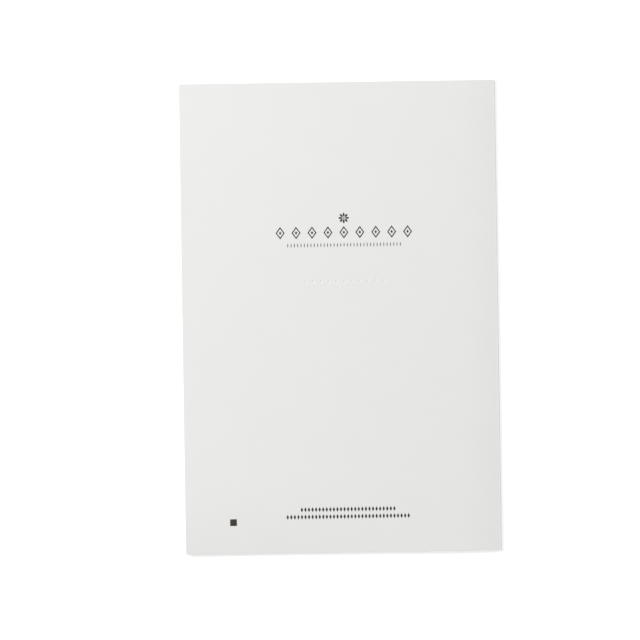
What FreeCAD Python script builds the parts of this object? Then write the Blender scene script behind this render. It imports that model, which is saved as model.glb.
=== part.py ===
import FreeCAD, Part

import math
import os

import Sketcher

# Greeting card: one sheet of cover stock, scored and folded once, lying closed on its front
# panel with the back panel up. Three printed marks and a printed square lie on the back panel.
# Millimetres and degrees. +X points to the fold, +Y up the page and +Z out of the back panel.
# The origin is the middle of the footprint, on the surface that the card lies on.

SIZES = [
    # The sheet
    ("panel_width", 128.0, "fold to free edges, closed"),
    ("panel_height", 190.5, "top edge to bottom edge"),
    ("stock_thickness", 0.40, "cover stock"),
    ("leaf_angle", 0.6, "the back panel springs open by this"),
    ("middle_gap", 1.65, "clear gap between the panels at the middle of the card"),
    # The scored fold
    ("crease_gap", 0.44, "clear gap between the panels at the crease"),
    ("crease_swell", 0.15, "extra board at the crease, where the score bulges inward"),
    ("spine_radius", 1.10, "outside of the fold"),
    ("shoulder_radius", 0.32, "between the spine and each panel"),
    ("roll_length", 14.5, "spine to the flat part of the back panel"),
    # The row of pressed dots
    ("dot_count", 11, "dots in the row"),
    ("dot_pitch", 3.16, "centre to centre"),
    ("dot_drop", 80.7, "top edge to the row"),
    ("dot_radius", 0.56, "at the surface"),
    ("dot_depth", 0.14, "below the surface"),
    # The print
    ("ink_thickness", 0.06, "every mark, in raised print"),
    ("print_shift", 1.9, "middle of the page to the axis of the print, toward the fold"),
    ("emblem_drop", 60.9, "top edge to the middle of the framed lozenges"),
    ("emblem_count", 9, "framed lozenges"),
    ("emblem_width", 3.60, "a framed lozenge, tip to tip"),
    ("emblem_height", 5.00, "a framed lozenge, tip to tip"),
    ("emblem_space", 2.85, "clear between neighbours"),
    ("emblem_line", 0.42, "line of the frame"),
    ("emblem_core", 1.00, "width of the lozenge inside the frame"),
    ("floret_gap", 1.10, "clear between the floret and the framed lozenges"),
    ("floret_eye", 0.30, "radius of the dot in the floret"),
    ("petal_count", 8, "petals of the floret"),
    ("petal_start", 0.55, "centre of the floret to the foot of a petal"),
    ("petal_length", 1.65, "foot to tip"),
    ("petal_width", 0.80, "at its widest"),
    ("rule_gap", 1.60, "clear between the framed and the fine lozenges"),
    ("rule_count", 35, "fine lozenges"),
    ("rule_width", 0.36, "a fine lozenge"),
    ("rule_height", 2.00, "a fine lozenge"),
    ("rule_space", 0.98, "clear between neighbours"),
    ("footer_rise", 14.60, "bottom edge to the middle of the lower row"),
    ("footer_row_gap", 0.90, "clear between the rows"),
    ("footer_upper_count", 27, "lozenges in the upper row"),
    ("footer_lower_count", 35, "lozenges in the lower row"),
    ("footer_width", 0.98, "a lozenge of the footer"),
    ("footer_height", 2.05, "a lozenge of the footer"),
    ("footer_space", 0.46, "clear between neighbours"),
    ("square_side", 2.70, "printed square"),
    ("square_inset", 19.45, "free edges to the centre of the square"),
    ("square_rise", 12.80, "bottom edge to the centre of the square"),
]

# Sizes that follow from the sheet, as expressions
LEAF_HEIGHT = "(2 * Sizes.stock_thickness + Sizes.middle_gap)"
FOLD_HEIGHT = "(2 * Sizes.stock_thickness + Sizes.crease_gap)"
CREASE_ROOT = "(Sizes.stock_thickness + Sizes.crease_swell)"
FIRST_DOT = "(Sizes.print_shift - Sizes.dot_pitch * (Sizes.dot_count - 1) / 2)"
DOT_SPHERE = "((Sizes.dot_radius ^ 2 + Sizes.dot_depth ^ 2) / (2 * Sizes.dot_depth))"
EMBLEM_UP = "(Sizes.panel_height / 2 - Sizes.emblem_drop)"
EMBLEM_DIAGONAL = "sqrt(Sizes.emblem_width ^ 2 + Sizes.emblem_height ^ 2)"
FLORET_RADIUS = "(Sizes.petal_start + Sizes.petal_length)"
PETAL_ARC = "((Sizes.petal_length ^ 2 + Sizes.petal_width ^ 2) / (4 * Sizes.petal_width))"

# A sketch numbers the points of an edge up from one, and its own two axes down from minus one
START, END, CENTRE = range(1, 4)
H_AXIS, V_AXIS = range(-1, -3, -1)
ORIGIN = (H_AXIS, START)


def make_sheet(doc):
    """The spreadsheet that drives every feature."""
    sheet = doc.addObject("Spreadsheet::Sheet", "Sizes")
    for row, (name, value, meaning) in enumerate(SIZES, start=1):
        sheet.set(f"A{row}", name)
        sheet.set(f"B{row}", str(value))
        sheet.setAlias(f"B{row}", name)
        sheet.set(f"C{row}", meaning)
    doc.recompute()
    return sheet


def make_body(doc, label):
    """An empty body whose label is the name of its node."""
    body = doc.addObject("PartDesign::Body", label)
    body.Label = label
    body.Placement = FreeCAD.Placement()
    return body


def origin_plane(body, role):
    """The origin plane of a body that has this role, such as XZ_Plane."""
    return next(item for item in body.Origin.OriginFeatures if item.Role == role)


def attach_sketch(body, name, role, offset):
    """A sketch on an origin plane of its own body, moved by an attachment offset."""
    sketch = body.newObject("Sketcher::SketchObject", name)
    sketch.AttachmentSupport = [(origin_plane(body, role), "")]
    sketch.MapMode = "FlatFace"
    sketch.AttachmentOffset = offset
    return sketch


def constrain(sketch, kind, *places, size=None, expression=None):
    """Add a constraint, and bind its value to an expression where it has one."""
    values = [number for place in places for number in place]
    if size is None:
        sketch.addConstraint(Sketcher.Constraint(kind, *values))
        return
    index = sketch.addConstraint(Sketcher.Constraint(kind, *values, size))
    sketch.setExpression(f"Constraints[{index}]", expression)


def add_arc(sketch, centre, radius, first, last):
    """An arc from one direction to another, counter-clockwise, in radians."""
    circle = Part.Circle(centre, FreeCAD.Vector(0, 0, 1), radius)
    return sketch.addGeometry(Part.ArcOfCircle(circle, first, last))


def add_line(sketch, start, end):
    """A straight edge."""
    return sketch.addGeometry(Part.LineSegment(start, end))


def fold_outline(sheet):
    """Corner points, centres and directions of the folded section, in the XZ plane."""
    half = sheet.panel_width / 2
    stock = sheet.stock_thickness
    angle = math.radians(sheet.leaf_angle)
    shoulder = sheet.shoulder_radius
    spine = sheet.spine_radius
    fold_height = 2 * stock + sheet.crease_gap
    leaf_height = 2 * stock + sheet.middle_gap
    root = half - stock - sheet.crease_swell

    along = FreeCAD.Vector(math.cos(angle), -math.sin(angle), 0)
    outward = FreeCAD.Vector(math.sin(angle), math.cos(angle), 0)

    spine_centre = FreeCAD.Vector(half - spine, fold_height / 2, 0)
    shoulder_reach = math.sqrt((spine - shoulder) ** 2 - (fold_height / 2 - shoulder) ** 2)
    lower = FreeCAD.Vector(spine_centre.x + shoulder_reach, shoulder, 0)
    upper = FreeCAD.Vector(spine_centre.x + shoulder_reach, fold_height - shoulder, 0)

    # The roll-off arc touches the flat leaf at one end and the upper shoulder at the other
    leaf_start = outward * leaf_height
    reach = (half - sheet.roll_length - leaf_start.x) / along.x
    touch = leaf_start + along * reach
    offset = touch - upper
    roll = (offset.dot(offset) - shoulder ** 2) / (2 * (offset.dot(outward) - shoulder))
    roll_centre = touch - outward * roll
    inner_root = roll_centre.y + math.sqrt((roll - stock) ** 2 - (root - roll_centre.x) ** 2)

    inner_left = outward * (leaf_height - stock)
    inner_corner = inner_left + along * ((-half - inner_left.x) / along.x)
    return {
        "half": half,
        "stock": stock,
        "outward": outward,
        "spine_centre": spine_centre,
        "lower": lower,
        "upper": upper,
        "roll": roll,
        "roll_centre": roll_centre,
        "touch": touch,
        "inner_corner": inner_corner,
        "root_low": FreeCAD.Vector(root, stock, 0),
        "root_high": FreeCAD.Vector(root, inner_root, 0),
    }


def direction(start, end):
    """Direction from one point to another, in radians."""
    return math.atan2(end.y - start.y, end.x - start.x)


def draw_fold(sketch, sheet):
    """The section of the folded sheet, as one closed chain that the sizes drive."""
    seen = fold_outline(sheet)
    half = seen["half"]
    stock = seen["stock"]
    lower = seen["lower"]
    upper = seen["upper"]
    spine_centre = seen["spine_centre"]
    roll_centre = seen["roll_centre"]
    touch = seen["touch"]
    inner_corner = seen["inner_corner"]
    outer_corner = inner_corner + seen["outward"] * stock
    inner_touch = touch - seen["outward"] * stock
    root_low = seen["root_low"]
    root_high = seen["root_high"]
    low_turn = direction(spine_centre, lower)
    high_turn = direction(spine_centre, upper)
    roll_start = direction(roll_centre, upper)
    roll_end = direction(roll_centre, touch)
    bead_centre = (root_low + root_high) / 2
    bead_radius = (root_high.y - root_low.y) / 2
    foot_outer = FreeCAD.Vector(-half, 0, 0)
    foot_inner = FreeCAD.Vector(-half, stock, 0)

    front_face = add_line(sketch, foot_outer, FreeCAD.Vector(lower.x, 0, 0))
    low_shoulder = add_arc(sketch, lower, sheet.shoulder_radius, -math.pi / 2, low_turn)
    spine = add_arc(sketch, spine_centre, sheet.spine_radius, low_turn, high_turn)
    high_shoulder = add_arc(sketch, upper, sheet.shoulder_radius, high_turn, roll_start)
    roll = add_arc(sketch, roll_centre, seen["roll"], roll_start, roll_end)
    back_face = add_line(sketch, touch, outer_corner)
    back_edge = add_line(sketch, outer_corner, inner_corner)
    back_inside = add_line(sketch, inner_corner, inner_touch)
    inner_roll_start = direction(roll_centre, root_high)
    inner_roll = add_arc(sketch, roll_centre, seen["roll"] - stock, inner_roll_start, roll_end)
    bead = add_arc(sketch, bead_centre, bead_radius, math.pi / 2, 3 * math.pi / 2)
    front_inside = add_line(sketch, root_low, foot_inner)
    front_edge = add_line(sketch, foot_inner, foot_outer)

    # Smooth joints round the outside of the fold and into the flat leaf
    constrain(sketch, "Tangent", (front_face, END), (low_shoulder, START))
    constrain(sketch, "Tangent", (low_shoulder, END), (spine, START))
    constrain(sketch, "Tangent", (spine, END), (high_shoulder, START))
    constrain(sketch, "Tangent", (high_shoulder, END), (roll, START))
    constrain(sketch, "Tangent", (roll, END), (back_face, START))
    constrain(sketch, "Tangent", (back_inside, END), (inner_roll, END))
    # Sharp corners at the cut edges and at the crease
    constrain(sketch, "Coincident", (back_face, END), (back_edge, START))
    constrain(sketch, "Coincident", (back_edge, END), (back_inside, START))
    constrain(sketch, "Coincident", (inner_roll, START), (bead, START))
    constrain(sketch, "Coincident", (bead, END), (front_inside, START))
    constrain(sketch, "Coincident", (front_inside, END), (front_edge, START))
    constrain(sketch, "Coincident", (front_edge, END), (front_face, START))

    # The front panel lies on the surface below
    constrain(sketch, "Horizontal", (front_face,))
    constrain(sketch, "Horizontal", (front_inside,))
    constrain(sketch, "Vertical", (front_edge,))
    constrain(sketch, "PointOnObject", (front_face, START), (H_AXIS,))
    constrain(sketch, "DistanceX", (front_face, START), ORIGIN,
              size=half, expression="Sizes.panel_width / 2")
    constrain(sketch, "Distance", (front_edge,),
              size=stock, expression="Sizes.stock_thickness")

    # The spine and its two shoulders
    constrain(sketch, "Radius", (low_shoulder,),
              size=sheet.shoulder_radius, expression="Sizes.shoulder_radius")
    constrain(sketch, "Equal", (low_shoulder,), (high_shoulder,))
    constrain(sketch, "Radius", (spine,),
              size=sheet.spine_radius, expression="Sizes.spine_radius")
    constrain(sketch, "DistanceX", ORIGIN, (spine, CENTRE), size=spine_centre.x,
              expression="Sizes.panel_width / 2 - Sizes.spine_radius")
    constrain(sketch, "DistanceY", ORIGIN, (spine, CENTRE), size=spine_centre.y,
              expression=f"{FOLD_HEIGHT} / 2")
    constrain(sketch, "DistanceY", ORIGIN, (high_shoulder, CENTRE), size=upper.y,
              expression=f"{FOLD_HEIGHT} - Sizes.shoulder_radius")

    # The back panel, sprung open, of the same stock all along
    constrain(sketch, "DistanceX", ORIGIN, (roll, END), size=touch.x,
              expression="Sizes.panel_width / 2 - Sizes.roll_length")
    constrain(sketch, "Angle", (back_face,), size=direction(touch, outer_corner),
              expression="180 - Sizes.leaf_angle")
    constrain(sketch, "Distance", ORIGIN, (back_face,),
              size=2 * stock + sheet.middle_gap, expression=LEAF_HEIGHT)
    constrain(sketch, "Perpendicular", (back_edge,), (back_face,))
    constrain(sketch, "Parallel", (back_inside,), (back_face,))
    constrain(sketch, "Distance", (back_edge,),
              size=stock, expression="Sizes.stock_thickness")
    constrain(sketch, "DistanceX", (back_edge, END), ORIGIN,
              size=half, expression="Sizes.panel_width / 2")
    constrain(sketch, "Coincident", (inner_roll, CENTRE), (roll, CENTRE))

    # The bead that the score raises inside the crease is half round
    constrain(sketch, "DistanceX", ORIGIN, (bead, START), size=root_high.x,
              expression=f"Sizes.panel_width / 2 - {CREASE_ROOT}")
    constrain(sketch, "Vertical", (bead, START), (bead, CENTRE))
    constrain(sketch, "Vertical", (bead, CENTRE), (bead, END))


def dot_sketch(body, name, sheet):
    """A sketch at the first pressed dot, with its vertical axis square to the back panel."""
    tilt = FreeCAD.Rotation(FreeCAD.Vector(0, 0, -1), sheet.leaf_angle)
    sketch = attach_sketch(body, name, "XZ_Plane", FreeCAD.Placement(FreeCAD.Vector(), tilt))
    sketch.setExpression("AttachmentOffset.Rotation.Angle", "Sizes.leaf_angle")
    sketch.setExpression(
        "AttachmentOffset.Base.x",
        f"{FIRST_DOT} * cos(Sizes.leaf_angle) + {LEAF_HEIGHT} * sin(Sizes.leaf_angle)",
    )
    sketch.setExpression(
        "AttachmentOffset.Base.y",
        f"{LEAF_HEIGHT} * cos(Sizes.leaf_angle) - {FIRST_DOT} * sin(Sizes.leaf_angle)",
    )
    sketch.setExpression("AttachmentOffset.Base.z", "Sizes.dot_drop - Sizes.panel_height / 2")
    return sketch


def draw_dot_bump(sketch, sheet):
    """Half section of the bump that a pressed dot raises on the inside of the panel."""
    depth = sheet.dot_depth
    stock = sheet.stock_thickness
    sphere = (sheet.dot_radius ** 2 + depth ** 2) / (2 * depth)
    outer = sphere + stock
    centre = FreeCAD.Vector(0, sphere - depth, 0)
    low = FreeCAD.Vector(0, -depth - stock, 0)
    side = FreeCAD.Vector(math.sqrt(outer ** 2 - (centre.y + stock) ** 2), -stock, 0)
    side_top = FreeCAD.Vector(side.x, -stock / 2, 0)
    top = FreeCAD.Vector(0, -stock / 2, 0)

    cap = add_arc(sketch, centre, outer, -math.pi / 2, direction(centre, side))
    wall = add_line(sketch, side, side_top)
    lid = add_line(sketch, side_top, top)
    axis = add_line(sketch, top, low)
    constrain(sketch, "Coincident", (cap, END), (wall, START))
    constrain(sketch, "Coincident", (wall, END), (lid, START))
    constrain(sketch, "Coincident", (lid, END), (axis, START))
    constrain(sketch, "Coincident", (axis, END), (cap, START))
    constrain(sketch, "PointOnObject", (cap, CENTRE), (V_AXIS,))
    constrain(sketch, "PointOnObject", (cap, START), (V_AXIS,))
    constrain(sketch, "PointOnObject", (lid, END), (V_AXIS,))
    constrain(sketch, "Vertical", (wall,))
    constrain(sketch, "Horizontal", (lid,))
    constrain(sketch, "Radius", (cap,), size=outer,
              expression=f"{DOT_SPHERE} + Sizes.stock_thickness")
    constrain(sketch, "DistanceY", ORIGIN, (cap, CENTRE), size=centre.y,
              expression=f"{DOT_SPHERE} - Sizes.dot_depth")
    constrain(sketch, "DistanceY", (cap, END), ORIGIN, size=stock,
              expression="Sizes.stock_thickness")
    constrain(sketch, "DistanceY", (lid, START), ORIGIN, size=stock / 2,
              expression="Sizes.stock_thickness / 2")


def draw_dot_hollow(sketch, sheet):
    """Half disc that turns into the ball pressed into the outside of the panel."""
    depth = sheet.dot_depth
    sphere = (sheet.dot_radius ** 2 + depth ** 2) / (2 * depth)
    centre = FreeCAD.Vector(0, sphere - depth, 0)
    low = FreeCAD.Vector(0, -depth, 0)
    high = FreeCAD.Vector(0, 2 * sphere - depth, 0)

    ball = add_arc(sketch, centre, sphere, -math.pi / 2, math.pi / 2)
    axis = add_line(sketch, high, low)
    constrain(sketch, "Coincident", (ball, END), (axis, START))
    constrain(sketch, "Coincident", (axis, END), (ball, START))
    constrain(sketch, "PointOnObject", (ball, START), (V_AXIS,))
    constrain(sketch, "PointOnObject", (ball, END), (V_AXIS,))
    constrain(sketch, "PointOnObject", (ball, CENTRE), (V_AXIS,))
    constrain(sketch, "Radius", (ball,), size=sphere, expression=DOT_SPHERE)
    constrain(sketch, "DistanceY", ORIGIN, (ball, CENTRE), size=centre.y,
              expression=f"{DOT_SPHERE} - Sizes.dot_depth")


def repeat_along(body, feature, sketch, count, pitch):
    """A row of one feature along the horizontal axis of its sketch."""
    pattern = body.newObject("PartDesign::LinearPattern", f"{feature.Name}_row")
    pattern.Originals = [feature]
    pattern.Direction = (sketch, ["H_Axis"])
    pattern.setExpression("Occurrences", count)
    pattern.setExpression("Length", f"({count} - 1) * {pitch}")
    body.Tip = pattern
    return pattern


def make_card(doc, sheet):
    """The folded sheet, with its row of pressed dots."""
    body = make_body(doc, "card")
    section = attach_sketch(body, "fold_section", "XZ_Plane", FreeCAD.Placement())
    draw_fold(section, sheet)
    folded = body.newObject("PartDesign::Pad", "folded_sheet")
    folded.Profile = section
    folded.Midplane = True
    folded.setExpression("Length", "Sizes.panel_height")
    body.Tip = folded
    doc.recompute()

    bump_section = dot_sketch(body, "dot_bump_section", sheet)
    draw_dot_bump(bump_section, sheet)
    bump = body.newObject("PartDesign::Revolution", "dot_bump")
    bump.Profile = bump_section
    bump.ReferenceAxis = (bump_section, ["V_Axis"])
    repeat_along(body, bump, bump_section, "Sizes.dot_count", "Sizes.dot_pitch")
    doc.recompute()
    raised = body.Shape.Volume

    hollow_section = dot_sketch(body, "dot_hollow_section", sheet)
    draw_dot_hollow(hollow_section, sheet)
    hollow = body.newObject("PartDesign::Groove", "dot_hollow")
    hollow.Profile = hollow_section
    hollow.ReferenceAxis = (hollow_section, ["V_Axis"])
    repeat_along(body, hollow, hollow_section, "Sizes.dot_count", "Sizes.dot_pitch")
    doc.recompute()
    if not body.Shape.Volume < raised:
        raise RuntimeError("the pressed dots cut nothing")
    return body


def make_print_body(doc, label, sheet):
    """An empty body whose XY plane is parallel to the back panel."""
    body = make_body(doc, label)
    tilt = FreeCAD.Rotation(FreeCAD.Vector(0, 1, 0), sheet.leaf_angle)
    body.Placement = FreeCAD.Placement(FreeCAD.Vector(), tilt)
    body.setExpression("Placement.Rotation.Angle", "Sizes.leaf_angle")
    return body


def page_sketch(body, name, across, up):
    """A sketch on the outside of the back panel, with its origin at a place on the page."""
    sketch = attach_sketch(body, name, "XY_Plane", FreeCAD.Placement())
    sketch.setExpression("AttachmentOffset.Base.x", across)
    sketch.setExpression("AttachmentOffset.Base.y", up)
    sketch.setExpression("AttachmentOffset.Base.z", LEAF_HEIGHT)
    return sketch


def pad_ink(body, sketch, name):
    """Ink of the printed thickness over the closed outlines of a sketch."""
    pad = body.newObject("PartDesign::Pad", name)
    pad.Profile = sketch
    pad.setExpression("Length", "Sizes.ink_thickness")
    body.Tip = pad
    return pad


def draw_lozenge(sketch, width, height, wide, high):
    """An upright lozenge about the sketch's origin, and the expressions of its two sizes."""
    right = FreeCAD.Vector(width / 2, 0, 0)
    top = FreeCAD.Vector(0, height / 2, 0)
    sides = [
        add_line(sketch, right, top),
        add_line(sketch, top, -right),
        add_line(sketch, -right, -top),
        add_line(sketch, -top, right),
    ]
    for side, following in zip(sides, sides[1:] + sides[:1]):
        constrain(sketch, "Coincident", (side, END), (following, START))
    constrain(sketch, "Symmetric", (sides[0], START), (sides[1], END), ORIGIN)
    constrain(sketch, "Symmetric", (sides[0], END), (sides[2], END), ORIGIN)
    constrain(sketch, "PointOnObject", (sides[0], START), (H_AXIS,))
    constrain(sketch, "PointOnObject", (sides[0], END), (V_AXIS,))
    constrain(sketch, "DistanceX", (sides[1], END), (sides[0], START),
              size=width, expression=wide)
    constrain(sketch, "DistanceY", (sides[2], END), (sides[0], END),
              size=height, expression=high)


def row_pitch(kind):
    """Centre to centre of the lozenges of a kind: one of them and the space beside it."""
    return f"(Sizes.{kind}_width + Sizes.{kind}_space)"


def row_sketch(body, name, kind, up, count):
    """A sketch at the first lozenge of a row that is centred on the axis of the print."""
    across = f"Sizes.print_shift - {row_pitch(kind)} * ({count} - 1) / 2"
    return page_sketch(body, f"{name}_outline", across, up)


def print_row(body, name, sheet, kind, up, count):
    """A row of plain lozenges, all the same."""
    sketch = row_sketch(body, name, kind, up, count)
    wide = f"{kind}_width"
    high = f"{kind}_height"
    draw_lozenge(sketch, sheet.get(wide), sheet.get(high), f"Sizes.{wide}", f"Sizes.{high}")
    ink = pad_ink(body, sketch, name)
    repeat_along(body, ink, sketch, count, row_pitch(kind))


def print_framed_row(body, name, sheet, up):
    """A row of lozenges in frames: two outlines make each frame and a third its core."""
    width = sheet.emblem_width
    height = sheet.emblem_height
    line_share = 2 * sheet.emblem_line * math.hypot(width, height) / (width * height)
    line_share_text = (
        f"2 * Sizes.emblem_line * {EMBLEM_DIAGONAL} / (Sizes.emblem_width * Sizes.emblem_height)"
    )
    outlines = [
        (1, "1"),
        (1 - line_share, f"(1 - {line_share_text})"),
        (sheet.emblem_core / width, "Sizes.emblem_core / Sizes.emblem_width"),
    ]
    sketch = row_sketch(body, name, "emblem", up, "Sizes.emblem_count")
    for share, text in outlines:
        draw_lozenge(sketch, width * share, height * share,
                     f"Sizes.emblem_width * {text}", f"Sizes.emblem_height * {text}")
    ink = pad_ink(body, sketch, name)
    repeat_along(body, ink, sketch, "Sizes.emblem_count", row_pitch("emblem"))


def draw_petal(sketch, sheet):
    """A petal of two arcs that meet in points, along the sketch's vertical axis."""
    foot = FreeCAD.Vector(0, sheet.petal_start, 0)
    tip = FreeCAD.Vector(0, sheet.petal_start + sheet.petal_length, 0)
    half_width = sheet.petal_width / 2
    half_length = sheet.petal_length / 2
    radius = (half_length ** 2 + half_width ** 2) / (2 * half_width)
    middle = (foot + tip) / 2
    right_centre = middle + FreeCAD.Vector(half_width - radius, 0, 0)
    left_centre = middle + FreeCAD.Vector(radius - half_width, 0, 0)
    spread = math.asin(half_length / radius)
    right = add_arc(sketch, right_centre, radius, -spread, spread)
    left = add_arc(sketch, left_centre, radius, math.pi - spread, math.pi + spread)
    constrain(sketch, "Coincident", (right, END), (left, START))
    constrain(sketch, "Coincident", (left, END), (right, START))
    constrain(sketch, "PointOnObject", (right, START), (V_AXIS,))
    constrain(sketch, "PointOnObject", (right, END), (V_AXIS,))
    constrain(sketch, "Equal", (right,), (left,))
    constrain(sketch, "DistanceY", ORIGIN, (right, START),
              size=sheet.petal_start, expression="Sizes.petal_start")
    constrain(sketch, "DistanceY", (right, START), (right, END),
              size=sheet.petal_length, expression="Sizes.petal_length")
    constrain(sketch, "Radius", (right,), size=radius, expression=PETAL_ARC)


def print_floret(body, sheet):
    """Petals round a dot, above the row of framed lozenges."""
    up = f"{EMBLEM_UP} + Sizes.emblem_height / 2 + Sizes.floret_gap + {FLORET_RADIUS}"
    petal_sketch = page_sketch(body, "petal_outline", "Sizes.print_shift", up)
    draw_petal(petal_sketch, sheet)
    petal = pad_ink(body, petal_sketch, "petal")
    petals = body.newObject("PartDesign::PolarPattern", "petals")
    petals.Originals = [petal]
    petals.Axis = (petal_sketch, ["N_Axis"])
    petals.Angle = 360
    petals.setExpression("Occurrences", "Sizes.petal_count")
    body.Tip = petals

    eye_sketch = page_sketch(body, "eye_outline", "Sizes.print_shift", up)
    eye = eye_sketch.addGeometry(
        Part.Circle(FreeCAD.Vector(), FreeCAD.Vector(0, 0, 1), sheet.floret_eye))
    constrain(eye_sketch, "Coincident", (eye, CENTRE), ORIGIN)
    constrain(eye_sketch, "Radius", (eye,), size=sheet.floret_eye,
              expression="Sizes.floret_eye")
    pad_ink(body, eye_sketch, "floret_eye")


def make_emblem(doc, sheet):
    """The dark print in the upper half: a floret over a row of framed lozenges."""
    body = make_print_body(doc, "emblem_print", sheet)
    print_floret(body, sheet)
    print_framed_row(body, "framed_row", sheet, EMBLEM_UP)
    return body


def make_rule(doc, sheet):
    """The print under the emblem: one row of fine lozenges."""
    body = make_print_body(doc, "rule_print", sheet)
    drop = "(Sizes.emblem_height / 2 + Sizes.rule_gap + Sizes.rule_height / 2)"
    print_row(body, "rule_row", sheet, "rule", f"{EMBLEM_UP} - {drop}", "Sizes.rule_count")
    return body


def make_footer(doc, sheet):
    """The dark print at the foot of the page: two rows of lozenges."""
    body = make_print_body(doc, "footer_print", sheet)
    lower = "Sizes.footer_rise - Sizes.panel_height / 2"
    upper = f"{lower} + Sizes.footer_height + Sizes.footer_row_gap"
    print_row(body, "footer_upper", sheet, "footer", upper, "Sizes.footer_upper_count")
    print_row(body, "footer_lower", sheet, "footer", lower, "Sizes.footer_lower_count")
    return body


def make_square(doc, sheet):
    """The plain printed square near the bottom corner of the free edges."""
    body = make_print_body(doc, "square_print", sheet)
    sketch = page_sketch(body, "square_outline",
                         "Sizes.square_inset - Sizes.panel_width / 2",
                         "Sizes.square_rise - Sizes.panel_height / 2")
    half = sheet.square_side / 2
    corners = [
        FreeCAD.Vector(half, -half, 0),
        FreeCAD.Vector(half, half, 0),
        FreeCAD.Vector(-half, half, 0),
        FreeCAD.Vector(-half, -half, 0),
    ]
    sides = [add_line(sketch, corners[turn - 1], corners[turn]) for turn in range(4)]
    for side, following in zip(sides, sides[1:] + sides[:1]):
        constrain(sketch, "Coincident", (side, END), (following, START))
    constrain(sketch, "Horizontal", (sides[0],))
    constrain(sketch, "Vertical", (sides[1],))
    constrain(sketch, "Horizontal", (sides[2],))
    constrain(sketch, "Vertical", (sides[3],))
    constrain(sketch, "Symmetric", (sides[0], START), (sides[2], START), ORIGIN)
    constrain(sketch, "Equal", (sides[0],), (sides[1],))
    constrain(sketch, "Distance", (sides[0],),
              size=sheet.square_side, expression="Sizes.square_side")
    pad_ink(body, sketch, "square")
    return body


def check_document(doc, bodies):
    """Stop if anything in the document failed or a sub-part has no sound solid."""
    for item in doc.Objects:
        if "Invalid" in item.State or "Error" in item.State:
            raise RuntimeError(f"{item.Label} failed: {item.State}")
        if item.isDerivedFrom("Sketcher::SketchObject") and item.solve() != 0:
            raise RuntimeError(f"{item.Label} has no solution")
    for body in bodies:
        if body.Shape.isNull() or not body.Shape.isValid() or not body.Shape.Solids:
            raise RuntimeError(f"{body.Label} has no sound solid")


def main():
    doc = FreeCAD.newDocument("greeting_card")
    sheet = make_sheet(doc)
    bodies = [
        make_card(doc, sheet),
        make_emblem(doc, sheet),
        make_rule(doc, sheet),
        make_footer(doc, sheet),
        make_square(doc, sheet),
    ]
    doc.recompute()
    check_document(doc, bodies)
    os.makedirs("parts", exist_ok=True)
    for body in bodies:
        body.Shape.exportStep(f"parts/{body.Label}.step")


main()
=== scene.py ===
import math

import bmesh
import bpy
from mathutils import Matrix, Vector


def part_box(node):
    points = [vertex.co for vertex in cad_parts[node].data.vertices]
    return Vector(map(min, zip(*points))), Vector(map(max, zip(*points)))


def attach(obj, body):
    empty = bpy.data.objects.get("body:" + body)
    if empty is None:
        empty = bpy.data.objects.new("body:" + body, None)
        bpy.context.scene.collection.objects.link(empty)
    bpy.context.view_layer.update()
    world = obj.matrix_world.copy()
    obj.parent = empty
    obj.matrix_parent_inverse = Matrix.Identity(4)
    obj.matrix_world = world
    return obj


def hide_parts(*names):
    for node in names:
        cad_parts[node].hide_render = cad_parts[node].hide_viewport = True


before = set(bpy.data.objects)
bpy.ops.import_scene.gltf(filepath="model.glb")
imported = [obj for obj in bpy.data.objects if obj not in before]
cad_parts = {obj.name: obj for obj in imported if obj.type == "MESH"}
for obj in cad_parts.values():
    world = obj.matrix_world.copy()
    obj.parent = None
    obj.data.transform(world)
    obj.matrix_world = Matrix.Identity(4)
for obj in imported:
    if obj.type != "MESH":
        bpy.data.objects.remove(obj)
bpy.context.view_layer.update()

# A closed greeting card lies on its front panel with the back panel up. All sizes are in metres.
# +X points to the fold, +Y up the page and +Z out of the back panel.

MM = 0.001

# The folded sheet
STOCK = 0.40 * MM
LEAF_ANGLE = math.radians(0.6)
CREASE_GAP = 0.44 * MM
CREASE_SWELL = 0.15 * MM
SPINE_RADIUS = 1.10 * MM
SHOULDER_RADIUS = 0.32 * MM
ROLL_LENGTH = 14.5 * MM

# How far the back panel sinks from its flat, at its free corners and along its bottom edge
CORNER_DROOP = 0.22 * MM
CURL_DROP = 1.25 * MM
CURL_LENGTH = 27 * MM

# The row of pressed dots, each wider by DOT_SPREAD on the inner side
DOT_COUNT = 11
DOT_PITCH = 3.16 * MM
DOT_DROP = 80.7 * MM
DOT_REACH = 0.68 * MM
DOT_DEPTH = 0.14 * MM
DOT_FALL = 1.5
DOT_SPREAD = 0.1 * STOCK
PRINT_SHIFT = 1.9 * MM

# The mesh of the sheet
FOLD_STEPS = 44
ROLL_STEPS = 26
DOT_STEPS = 14
DOT_MARGIN = 2
PLAIN_STEP = 4.0 * MM
CURL_STEPS = 14
RIM_STEP = 0.25 * MM
CREASE_REACH = 0.7 * MM

# Softened edges, and the angles that tell a sharp edge from a curve
CUT_SOFTNESS = 0.05 * MM
CUT_SKIN = 0.6 * CUT_SOFTNESS
INK_SOFTNESS = 0.03 * MM
SOFTNESS_STEPS = 2
ROUND_PROFILE = 0.5
CUT_ANGLE = math.radians(60)
SHADING_ANGLE = math.radians(40)
FLAT_ANGLE = math.radians(2)
SAME_PLACE = 0.001 * MM
INK_FLAT_AREA = 0.03 * MM * MM
ROUNDING = 1e-6

# Colours as a screen shows them, from 0 to 255
BOARD = (237, 237, 235)
BOARD_CLOUD = (236, 236, 234)
BOARD_FIBRE = (231, 231, 225)
BOARD_CUT = (232, 231, 224)
BOARD_CUT_LAYER = (219, 217, 208)
# The fold's edge turns lighter: partly rubbing, partly painted light that lifts the edge turning
# away from the lamp
BOARD_RUBBED_AND_LIT = (249, 249, 247)
INK = (56, 52, 41)
INK_THIN = (66, 62, 51)
INK_SPOT = (104, 101, 93)
TABLE = (250, 250, 250)
WHITE = (255, 255, 255)

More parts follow.
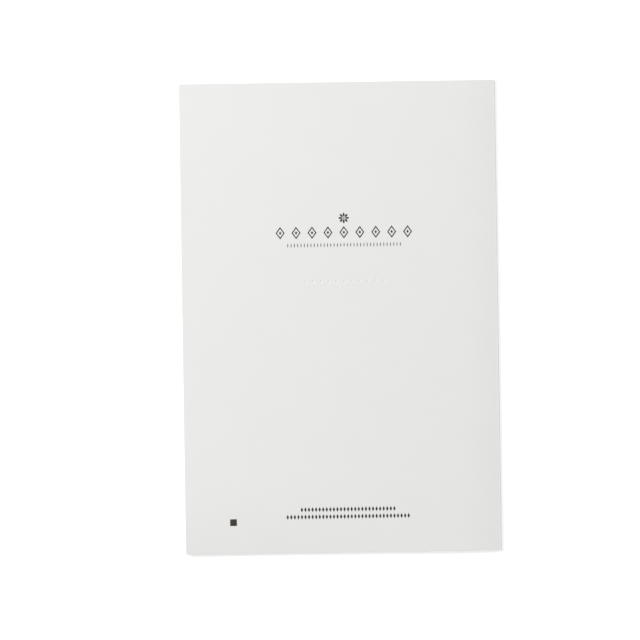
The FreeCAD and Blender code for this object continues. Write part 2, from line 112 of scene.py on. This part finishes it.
# Sizes of the grain, and the ranges of its noise that show
CLOUD_SIZE = 14 * MM
RIPPLE_SIZE = 2.2 * MM
FIBRE_SIZE = 0.35 * MM
LAYER_SIZE = 0.5 * MM
LAYER_STRETCH = (1.0, 1.0, 9.0)
SCUFF_SIZE = 0.6 * MM
SCUFF_STRETCH = (1.0, 0.35, 1.0)
INK_LAY_SIZE = 0.30 * MM
INK_SPOT_SIZE = 0.09 * MM
WHOLE_NOISE = (0.3, 0.7)
FIBRE_NOISE = (0.62, 0.8)
SCUFF_NOISE = (0.35, 0.65)
SPOT_NOISE = (0.68, 0.8)

# How far a noise turns one colour into another, from its lowest to its highest
FULL_SHARE = (0.0, 1.0)
FIBRE_SHARE = (0.0, 0.5)
SCUFF_AND_LIGHT_SHARE = (0.35, 1.0)
SPOT_SHARE = (0.0, 0.6)

# The finish of the board and the ink
BOARD_ROUGHNESS = (0.68, 0.78)
CUT_ROUGHER = 0.3
RUBBED_ROUGHER = 0.2
RUBBED_AND_LIT_WIDTH = 1.0 * MM
BOARD_SPECULAR = 0.25
BOARD_RELIEF = 0.010 * MM
BOARD_BUMP = 0.5
TOOTH_RELIEF = 0.5
RIPPLE_RELIEF = 0.8
LAYER_RELIEF = 2.0
INK_ROUGHNESS = (0.50, 0.62)
INK_SPECULAR = 0.18
INK_RELIEF = 0.008 * MM
INK_BUMP = 0.6
SPOT_RELIEF = 0.5

# The table top, the light all round and the lamp
TABLE_REACH = 0.75
TABLE_DROP = 0.02 * MM
TABLE_LIFT = 0.35
TABLE_ROUGHNESS = 0.9
TABLE_SPECULAR = 0.1
WORLD_LEVEL = 0.590
KEY_DISTANCE = 1.6
KEY_HEIGHT = math.radians(36)
KEY_BEARING = math.radians(147)
KEY_SIZE = 0.7
KEY_POWER = 16.7

# The photograph, in its own pixels, and the lens that took it
FRAME_PX = 640
CARD_CENTRE_PX = (340.4, 317.2)
CARD_HEIGHT_PX = 470.8
CARD_TURN = math.radians(0.882)
LENS_MM = 150
SENSOR_MM = 36

# Places on the card
CARD_LOW, CARD_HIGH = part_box("card")
HALF_WIDTH = (CARD_HIGH.x - CARD_LOW.x) / 2
HALF_HEIGHT = (CARD_HIGH.y - CARD_LOW.y) / 2
ALONG = Vector((math.cos(LEAF_ANGLE), -math.sin(LEAF_ANGLE)))
OUTWARD = Vector((math.sin(LEAF_ANGLE), math.cos(LEAF_ANGLE)))
CREASE_ROOT = HALF_WIDTH - STOCK - CREASE_SWELL
# The highest corner of the card is the outer corner of the back panel's free edge
LEAF_HEIGHT = Vector((CARD_LOW.x + STOCK * OUTWARD.x, CARD_HIGH.z)).dot(OUTWARD)
FLAT_START = HALF_WIDTH - ROLL_LENGTH
DOT_ROW_Y = CARD_HIGH.y - DOT_DROP
DOT_CENTRES = [PRINT_SHIFT + DOT_PITCH * (k - (DOT_COUNT - 1) / 2) for k in range(DOT_COUNT)]


def leaf_point(across, lift):
    """A point of the section, at a place along the back panel and above its outside."""
    return ALONG * across + OUTWARD * (LEAF_HEIGHT + lift)


def graded(low, high, fine, step):
    """Places from low to high, no further apart than step, with every fine place kept."""
    marks = sorted({low, high, *(place for place in fine if low < place < high)})
    places = [low]
    for start, end in zip(marks, marks[1:]):
        parts = max(1, math.ceil((end - start) / step - ROUNDING))
        places += [start + (end - start) * k / parts for k in range(1, parts + 1)]
    return places


def dot_places(centres):
    """Fine places across each pressed dot, so that its hollow is round in the mesh."""
    steps = range(-DOT_MARGIN, DOT_STEPS + DOT_MARGIN + 1)
    offsets = [DOT_REACH * (2 * k / DOT_STEPS - 1) for k in steps]
    return [centre + offset for centre in centres for offset in offsets]


def dot_depth(across, up, reach):
    """How far the pressed dots push the surface in at a place on the back panel."""
    nearest = min(DOT_CENTRES, key=lambda centre: abs(centre - across))
    distance = math.hypot(across - nearest, up - DOT_ROW_Y) / reach
    return DOT_DEPTH * (1 - distance ** 2) ** DOT_FALL if distance < 1 else 0.0


def droop(x, y):
    """How far the back panel sinks: at its free corners, and where its bottom edge curls down."""
    free = max(0.0, (FLAT_START - x) / (FLAT_START + HALF_WIDTH))
    curled = max(0.0, 1 - (y + HALF_HEIGHT) / CURL_LENGTH)
    corner = CORNER_DROOP * free ** 2 * (y / HALF_HEIGHT) ** 2
    return corner + CURL_DROP * free * (2 - free) * curled ** 2


def along_path(path, share):
    """The point at a share of the length of a list of points."""
    lengths = [(end - start).length for start, end in zip(path, path[1:])]
    left = share * sum(lengths)
    for start, end, length in zip(path, path[1:], lengths):
        if left <= length:
            return start.lerp(end, left / length)
        left -= length
    return path[-1]


def direction(turn):
    """The unit vector of the section at a turn from +X."""
    return Vector((math.cos(turn), math.sin(turn)))


def arc_points(centre, radius, first, last, steps):
    """Points along an arc, both ends included."""
    return [centre + direction(first + (last - first) * k / steps) * radius
            for k in range(steps + 1)]


def roll_arc():
    """Centres of the spine and both shoulders, and the roll-off's centre and radius."""
    fold_height = 2 * STOCK + CREASE_GAP
    spine_centre = Vector((HALF_WIDTH - SPINE_RADIUS, fold_height / 2))
    rise = fold_height / 2 - SHOULDER_RADIUS
    reach = math.sqrt((SPINE_RADIUS - SHOULDER_RADIUS) ** 2 - rise ** 2)
    upper = spine_centre + Vector((reach, rise))
    lower = spine_centre + Vector((reach, -rise))
    touch = leaf_point((FLAT_START - OUTWARD.x * LEAF_HEIGHT) / ALONG.x, 0)
    offset = touch - upper
    radius = ((offset.length_squared - SHOULDER_RADIUS ** 2)
              / (2 * (offset.dot(OUTWARD) - SHOULDER_RADIUS)))
    return spine_centre, lower, upper, touch - OUTWARD * radius, radius


def fold_stations():
    """Outer and inner points of the sheet round the fold, from the front panel to the flat."""
    spine_centre, lower, upper, centre, radius = roll_arc()
    spine_turn = math.atan2(upper.y - spine_centre.y, upper.x - spine_centre.x)
    shoulder_turn = math.atan2(upper.y - centre.y, upper.x - centre.x)
    root_turn = math.acos((CREASE_ROOT - centre.x) / (radius - STOCK))
    flat_turn = math.pi / 2 - LEAF_ANGLE
    root_high = centre + direction(root_turn) * (radius - STOCK)
    root_low = Vector((CREASE_ROOT, STOCK))
    outer = [Vector((CREASE_ROOT, 0))]
    outer += arc_points(lower, SHOULDER_RADIUS, -math.pi / 2, -spine_turn, FOLD_STEPS)
    outer += arc_points(spine_centre, SPINE_RADIUS, -spine_turn, spine_turn, FOLD_STEPS)
    outer += arc_points(upper, SHOULDER_RADIUS, spine_turn, shoulder_turn, FOLD_STEPS)
    outer += arc_points(centre, radius, shoulder_turn, root_turn, 1)
    bead_centre = (root_high + root_low) / 2
    bead_radius = (root_high.y - root_low.y) / 2
    bead = arc_points(bead_centre, bead_radius, -math.pi / 2, -3 * math.pi / 2, FOLD_STEPS)
    fold = [(along_path(outer, k / FOLD_STEPS), bead[k]) for k in range(FOLD_STEPS + 1)]
    roll_outer = arc_points(centre, radius, root_turn, flat_turn, ROLL_STEPS)
    roll_inner = arc_points(centre, radius - STOCK, root_turn, flat_turn, ROLL_STEPS)
    return fold + list(zip(roll_outer, roll_inner))[1:]


def flat_point(across, up):
    """Outer and inner points of the back panel's flat, with its pressed dots and its droop."""
    outer = leaf_point(across, -dot_depth(across, up, DOT_REACH))
    inner = leaf_point(across, -dot_depth(across, up, DOT_REACH + DOT_SPREAD) - STOCK)
    sunk = Vector((0, droop(outer.x, up)))
    return outer - sunk, inner - sunk


def sheet_rows():
    """Outer and inner points of the sheet, for each row up the page, and where the fold starts."""
    front_fine = [RIM_STEP - HALF_WIDTH, CREASE_ROOT - CREASE_REACH]
    front = [(Vector((x, 0)), Vector((x, STOCK)))
             for x in graded(-HALF_WIDTH, CREASE_ROOT, front_fine, PLAIN_STEP)[:-1]]
    fold = fold_stations()
    flat_start = fold[-1][0].dot(ALONG)
    flat_end = Vector((-HALF_WIDTH + STOCK * OUTWARD.x, CARD_HIGH.z)).dot(ALONG)
    flat_fine = [flat_end + RIM_STEP] + dot_places(DOT_CENTRES)
    flat = graded(flat_end, flat_start, flat_fine, PLAIN_STEP)[-2::-1]
    up_fine = [CARD_LOW.y + RIM_STEP, CARD_HIGH.y - RIM_STEP] + dot_places([DOT_ROW_Y])
    up_fine += [CARD_LOW.y + CURL_LENGTH * k / CURL_STEPS for k in range(1, CURL_STEPS + 1)]
    rows = [(up, front + fold + [flat_point(across, up) for across in flat])
            for up in graded(CARD_LOW.y, CARD_HIGH.y, up_fine, PLAIN_STEP)]
    return rows, len(front)


def sheet_mesh():
    """The folded sheet as one closed mesh of quads, with one face at each end of the fold."""
    rows, fold_first = sheet_rows()
    fold_last = fold_first + FOLD_STEPS
    stations = len(rows[0][1])
    vertices = [(point.x, up, point.y) for up, row in rows for pair in row for point in pair]

    def index(row, station, side):
        return (row * stations + station) * 2 + side

    faces = []
    last_row = len(rows) - 1
    last = stations - 1
    for row in range(last_row):
        for station in range(last):
            for side in (0, 1):
                quad = [
                    index(row, station, side),
                    index(row, station + 1, side),
                    index(row + 1, station + 1, side),
                    index(row + 1, station, side),
                ]
                faces.append(quad if side else quad[::-1])
        for station in (0, last):
            quad = [
                index(row, station, 0),
                index(row, station, 1),
                index(row + 1, station, 1),
                index(row + 1, station, 0),
            ]
            faces.append(quad[::-1] if station else quad)
    spans = [(station, station + 1) for station in range(last)
             if not fold_first <= station < fold_last]
    for row in (0, last_row):
        for first, end in spans + [(fold_first, fold_last)]:
            rim = [index(row, station, 0) for station in range(first, end + 1)]
            rim += [index(row, station, 1) for station in range(end, first - 1, -1)]
            faces.append(rim[::-1] if row else rim)
    mesh = bpy.data.meshes.new("card_sheet")
    mesh.from_pydata(vertices, [], faces)
    return mesh


def soften_edges(mesh, width, wanted):
    """Round the sharp edges of a mesh that the test picks out."""
    shape = bmesh.new()
    shape.from_mesh(mesh)
    bmesh.ops.recalc_face_normals(shape, faces=shape.faces)
    sharp = [edge for edge in shape.edges
             if edge.is_manifold and edge.calc_face_angle() > CUT_ANGLE and wanted(edge)]
    bmesh.ops.bevel(shape, geom=sharp, offset=width, segments=SOFTNESS_STEPS,
                    profile=ROUND_PROFILE, affect="EDGES", clamp_overlap=True)
    shape.to_mesh(mesh)
    shape.free()


def add_piece(name, mesh, node, material, smooth):
    """A piece of the card that stands for a node of the frame, with the faces to be smoothed."""
    piece = bpy.data.objects.new(name, mesh)
    bpy.context.scene.collection.objects.link(piece)
    mesh.polygons.foreach_set("use_smooth", [smooth(face) for face in mesh.polygons])
    mesh.set_sharp_from_angle(angle=SHADING_ANGLE)
    mesh.materials.clear()
    mesh.materials.append(material)
    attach(piece, "root")
    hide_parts(node)


def build_sheet(material):
    """The folded sheet, with softened cut edges but for the ends of the crease."""
    mesh = sheet_mesh()
    crease_left = CREASE_ROOT - 1.1 * CREASE_REACH
    crease_right = CREASE_ROOT + 0.1 * STOCK
    crease_bottom = 0.5 * STOCK
    crease_top = 1.5 * STOCK + CREASE_GAP

    def in_crease(vertex):
        beside = crease_left < vertex.co.x < crease_right
        return beside and crease_bottom < vertex.co.z < crease_top

    def clear_of_crease(edge):
        return not all(in_crease(vertex) for vertex in edge.verts)

    soften_edges(mesh, CUT_SOFTNESS, clear_of_crease)
    add_piece("card_sheet", mesh, "card", material, lambda face: True)


def build_print(node, material):
    """A mark of raised print: the node's own outline, with a soft rim, laid on the panel."""
    shape = bmesh.new()
    shape.from_mesh(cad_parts[node].data)
    bmesh.ops.remove_doubles(shape, verts=shape.verts, dist=SAME_PLACE)
    bmesh.ops.dissolve_limit(shape, angle_limit=FLAT_ANGLE, verts=shape.verts, edges=shape.edges)
    mesh = bpy.data.meshes.new(f"{node}_ink")
    shape.to_mesh(mesh)
    shape.free()

    def on_top(edge):
        heights = [vertex.co.x * OUTWARD.x + vertex.co.z * OUTWARD.y for vertex in edge.verts]
        return min(heights) > LEAF_HEIGHT + INK_SOFTNESS

    soften_edges(mesh, INK_SOFTNESS, on_top)
    for vertex in mesh.vertices:
        vertex.co.z -= droop(vertex.co.x, vertex.co.y)
    add_piece(f"{node}_ink", mesh, node, material,
              lambda face: face.area < INK_FLAT_AREA)


def linear(red, green, blue):
    """A colour as shown on a screen, from 0 to 255, as Blender's own values."""
    shares = [level / 255 for level in (red, green, blue)]
    return tuple(share / 12.92 if share <= 0.04045 else ((share + 0.055) / 1.055) ** 2.4
                 for share in shares) + (1.0,)


class Nodes:
    """Short calls for building one material."""

    def __init__(self, name, specular):
        self.material = bpy.data.materials.new(name)
        self.material.use_nodes = True
        self.tree = self.material.node_tree
        self.shader = self.tree.nodes["Principled BSDF"]
        self.shader.inputs["Specular IOR Level"].default_value = specular

    def link(self, source, target):
        self.tree.links.new(source, target)

    def place(self):
        """The place on the piece, in metres."""
        return self.tree.nodes.new("ShaderNodeTexCoord").outputs["Object"]

    def noise(self, size, detail=2.0, stretch=None):
        """Noise whose features are about this size in metres."""
        node = self.tree.nodes.new("ShaderNodeTexNoise")
        node.inputs["Scale"].default_value = 1 / size
        node.inputs["Detail"].default_value = detail
        place = self.place()
        if stretch:
            mapping = self.tree.nodes.new("ShaderNodeMapping")
            mapping.inputs["Scale"].default_value = stretch
            self.link(place, mapping.inputs["Vector"])
            place = mapping.outputs["Vector"]
        self.link(place, node.inputs["Vector"])
        return node.outputs["Fac"]

    def span(self, value, source, target):
        """A value carried from one range to another, and held at its ends."""
        node = self.tree.nodes.new("ShaderNodeMapRange")
        sockets = ("From Min", "From Max", "To Min", "To Max")
        for socket, number in zip(sockets, source + target):
            node.inputs[socket].default_value = number
        self.link(value, node.inputs["Value"])
        return node.outputs["Result"]

    def combine(self, operation, first, second):
        """Two values made one, either of which may be a plain number."""
        node = self.tree.nodes.new("ShaderNodeMath")
        node.operation = operation
        for socket, value in zip(node.inputs, (first, second)):
            if isinstance(value, (int, float)):
                socket.default_value = value
            else:
                self.link(value, socket)
        return node.outputs["Value"]

    def mix(self, share, first, second):
        """One colour turning into another, each from 0 to 255 or from a node."""
        node = self.tree.nodes.new("ShaderNodeMix")
        node.data_type = "RGBA"
        self.link(share, node.inputs["Factor"])
        for socket, colour in ((node.inputs[6], first), (node.inputs[7], second)):
            if isinstance(colour, tuple):
                socket.default_value = linear(*colour)
            else:
                self.link(colour, socket)
        return node.outputs[2]

    def finish(self, colour, roughness, height, depth, strength):
        """Colour, roughness and a relief of a depth in metres, on the shader."""
        node = self.tree.nodes.new("ShaderNodeBump")
        node.inputs["Strength"].default_value = strength
        node.inputs["Distance"].default_value = depth
        self.link(height, node.inputs["Height"])
        self.link(node.outputs["Normal"], self.shader.inputs["Normal"])
        self.link(colour, self.shader.inputs["Base Color"])
        self.link(roughness, self.shader.inputs["Roughness"])
        return self.material


def cover_stock():
    """Smooth off-white board: a faint cloudy look-through, a fine tooth and fibrous cut edges."""
    nodes = Nodes("cover_stock", BOARD_SPECULAR)
    clouds = nodes.noise(CLOUD_SIZE, detail=3.0)
    fibres = nodes.noise(FIBRE_SIZE, detail=4.0)
    layers = nodes.noise(LAYER_SIZE, detail=3.0, stretch=LAYER_STRETCH)
    scuffs = nodes.noise(SCUFF_SIZE, detail=4.0, stretch=SCUFF_STRETCH)
    face = nodes.mix(nodes.span(clouds, WHOLE_NOISE, FULL_SHARE), BOARD, BOARD_CLOUD)
    face = nodes.mix(nodes.span(fibres, FIBRE_NOISE, FIBRE_SHARE), face, BOARD_FIBRE)
    edge = nodes.mix(nodes.span(layers, WHOLE_NOISE, FULL_SHARE), BOARD_CUT, BOARD_CUT_LAYER)

    split = nodes.tree.nodes.new("ShaderNodeSeparateXYZ")
    nodes.link(nodes.place(), split.inputs["Vector"])
    skin = CUT_SKIN
    up = nodes.combine("ABSOLUTE", split.outputs["Y"], 0.0)
    at_ends = nodes.combine("GREATER_THAN", up, HALF_HEIGHT - skin)
    at_side = nodes.combine("LESS_THAN", split.outputs["X"], skin - HALF_WIDTH)
    cut = nodes.combine("MAXIMUM", at_ends, at_side)
    # Lighter towards the fold's edge, with scuffs: partly rubbing, partly painted light on the
    # edge that turns away from the lamp
    fold_edge = (HALF_WIDTH - RUBBED_AND_LIT_WIDTH, HALF_WIDTH)
    rubbed_and_lit = nodes.combine("MULTIPLY", nodes.span(split.outputs["X"], fold_edge, FULL_SHARE),
                           nodes.span(scuffs, SCUFF_NOISE, SCUFF_AND_LIGHT_SHARE))
    colour = nodes.mix(rubbed_and_lit, nodes.mix(cut, face, edge), BOARD_RUBBED_AND_LIT)

    rough = nodes.span(fibres, WHOLE_NOISE, BOARD_ROUGHNESS)
    rough = nodes.combine("ADD", rough, nodes.combine("MULTIPLY", cut, CUT_ROUGHER))
    rough = nodes.combine("ADD", rough, nodes.combine("MULTIPLY", rubbed_and_lit, RUBBED_ROUGHER))

    tooth = nodes.combine("MULTIPLY", fibres, TOOTH_RELIEF)
    ripple = nodes.combine("MULTIPLY", nodes.noise(RIPPLE_SIZE), RIPPLE_RELIEF)
    cut_layers = nodes.combine("MULTIPLY", nodes.combine("MULTIPLY", layers, cut), LAYER_RELIEF)
    relief = nodes.combine("ADD", nodes.combine("ADD", tooth, ripple), cut_layers)
    return nodes.finish(colour, rough, relief, BOARD_RELIEF, BOARD_BUMP)


def charcoal_ink():
    """Warm dark ink with a low gloss, laid a little unevenly."""
    nodes = Nodes("charcoal_ink", INK_SPECULAR)
    lay = nodes.noise(INK_LAY_SIZE, detail=3.0)
    spots = nodes.noise(INK_SPOT_SIZE)
    colour = nodes.mix(nodes.span(lay, WHOLE_NOISE, FULL_SHARE), INK, INK_THIN)
    colour = nodes.mix(nodes.span(spots, SPOT_NOISE, SPOT_SHARE), colour, INK_SPOT)
    rough = nodes.span(lay, WHOLE_NOISE, INK_ROUGHNESS)
    relief = nodes.combine("ADD", lay, nodes.combine("MULTIPLY", spots, SPOT_RELIEF))
    return nodes.finish(colour, rough, relief, INK_RELIEF, INK_BUMP)


def backdrop_level(tree, unseen, seen):
    """A strength for rays that light the card, and another for rays that show the background."""
    rays = tree.nodes.new("ShaderNodeLightPath")
    shown = rays.outputs["Is Camera Ray"]
    for kind in ("Is Glossy Ray", "Is Transmission Ray"):
        either = tree.nodes.new("ShaderNodeMath")
        either.operation = "MAXIMUM"
        tree.links.new(shown, either.inputs[0])
        tree.links.new(rays.outputs[kind], either.inputs[1])
        shown = either.outputs["Value"]
    level = tree.nodes.new("ShaderNodeMapRange")
    level.inputs["To Min"].default_value = unseen
    level.inputs["To Max"].default_value = seen
    tree.links.new(shown, level.inputs["Value"])
    return level.outputs["Result"]


def build_floor():
    """A plain white table top that keeps the card's shadow."""
    nodes = Nodes("floor", TABLE_SPECULAR)
    shader = nodes.shader
    shader.inputs["Base Color"].default_value = linear(*TABLE)
    shader.inputs["Roughness"].default_value = TABLE_ROUGHNESS
    shader.inputs["Emission Color"].default_value = linear(*WHITE)
    nodes.link(backdrop_level(nodes.tree, 0.0, TABLE_LIFT), shader.inputs["Emission Strength"])

    turns = ((-1, -1), (1, -1), (1, 1), (-1, 1))
    corners = [(x * TABLE_REACH, y * TABLE_REACH, -TABLE_DROP) for x, y in turns]
    mesh = bpy.data.meshes.new("floor")
    mesh.from_pydata(corners, [], [(0, 1, 2, 3)])
    mesh.materials.append(nodes.material)
    floor = bpy.data.objects.new("floor", mesh)
    bpy.context.scene.collection.objects.link(floor)


def build_light():
    """Even studio light from all round, and one soft lamp at the upper left."""
    world = bpy.data.worlds.new("studio")
    world.use_nodes = True
    bpy.context.scene.world = world
    background = world.node_tree.nodes["Background"]
    background.inputs["Color"].default_value = linear(*WHITE)
    level = backdrop_level(world.node_tree, WORLD_LEVEL, 1.0)
    world.node_tree.links.new(level, background.inputs["Strength"])

    lamp = bpy.data.lights.new("key", "AREA")
    lamp.shape = "DISK"
    lamp.size = KEY_SIZE
    lamp.energy = KEY_POWER
    key = bpy.data.objects.new("key", lamp)
    reach = KEY_DISTANCE * math.cos(KEY_HEIGHT)
    key.location = (reach * math.cos(KEY_BEARING), reach * math.sin(KEY_BEARING),
                    KEY_DISTANCE * math.sin(KEY_HEIGHT))
    key.rotation_euler = (-key.location).to_track_quat("-Z", "Y").to_euler()
    bpy.context.scene.collection.objects.link(key)


def build_camera():
    """A long lens straight above the card, turned and placed as in the photograph."""
    scale = 2 * HALF_HEIGHT / CARD_HEIGHT_PX
    distance = scale * FRAME_PX * LENS_MM / SENSOR_MM
    right = Vector((math.cos(CARD_TURN), -math.sin(CARD_TURN)))
    up = Vector((math.sin(CARD_TURN), math.cos(CARD_TURN)))
    offset = right * (CARD_CENTRE_PX[0] - FRAME_PX / 2) + up * (FRAME_PX / 2 - CARD_CENTRE_PX[1])
    lens = bpy.data.cameras.new("camera")
    lens.lens = LENS_MM
    lens.sensor_width = SENSOR_MM
    camera = bpy.data.objects.new("camera", lens)
    camera.location = (-offset.x * scale, -offset.y * scale, LEAF_HEIGHT + distance)
    camera.rotation_euler = (0.0, 0.0, -CARD_TURN)
    bpy.context.scene.collection.objects.link(camera)
    bpy.context.scene.camera = camera


build_sheet(cover_stock())
ink = charcoal_ink()
for node in ("emblem_print", "rule_print", "footer_print", "square_print"):
    build_print(node, ink)
build_floor()
build_light()
build_camera()
bpy.context.scene.view_settings.view_transform = "Standard"
